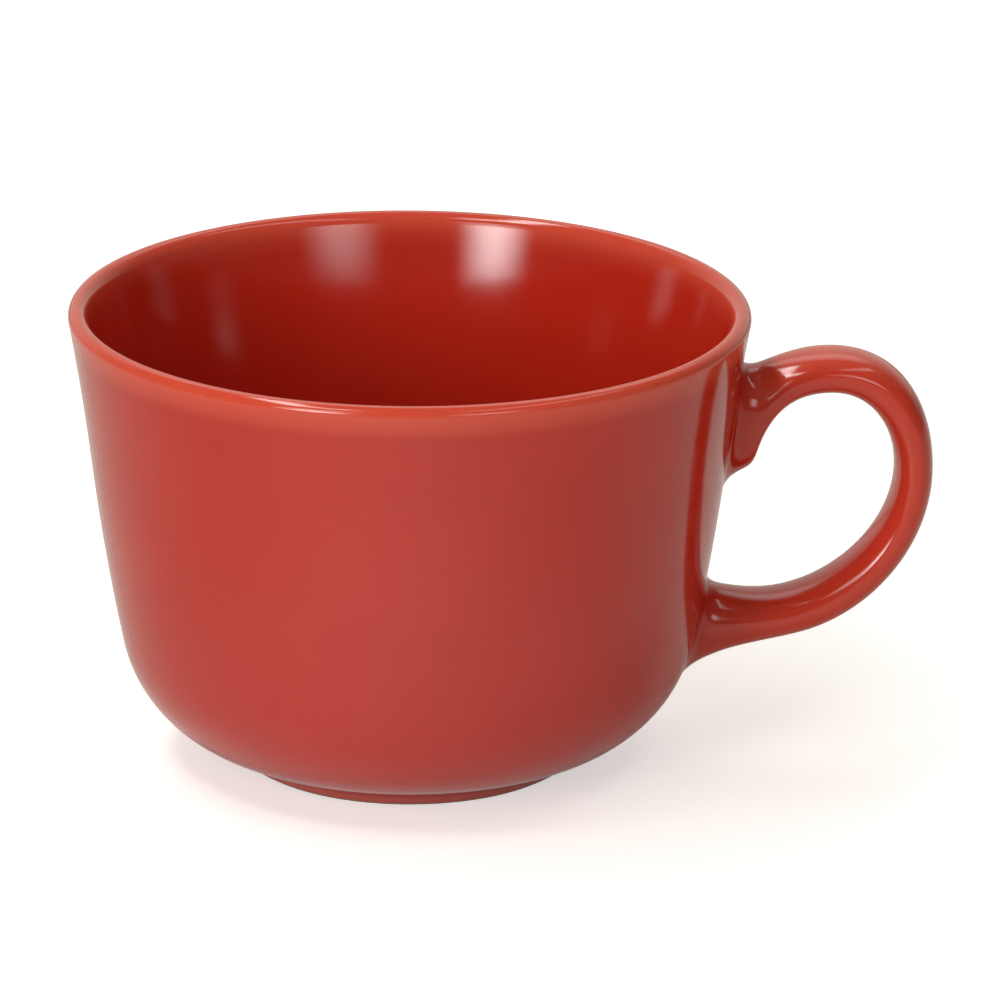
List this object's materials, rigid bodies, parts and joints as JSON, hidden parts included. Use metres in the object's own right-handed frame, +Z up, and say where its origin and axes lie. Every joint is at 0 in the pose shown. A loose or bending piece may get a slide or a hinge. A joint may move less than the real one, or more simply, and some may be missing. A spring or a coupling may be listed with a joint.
{
  "type": "soup mug",
  "caption": "Wide low glazed stoneware soup mug with a rounded bowl on a narrow foot ring and a loop handle at one side.",
  "frame": {"origin": "centre of the foot ring, on the plane the mug stands on", "axes": "+Z up along the bowl's axis, +X towards the handle"},
  "size_m": [0.1468, 0.1152, 0.0795],
  "materials": {
    "clay": "fired bare stoneware, matte",
    "slip": "fired clay slip, under the glaze",
    "red_glaze": "satin brick-red glaze"
  },
  "bodies": {
    "root": {"bowl": "clay", "handle": "clay", "upper_slip_joint": "slip", "lower_slip_joint": "slip", "bowl_glaze": "red_glaze", "handle_glaze": "red_glaze", "base_glaze": "red_glaze"}
  },
  "joints": []
}
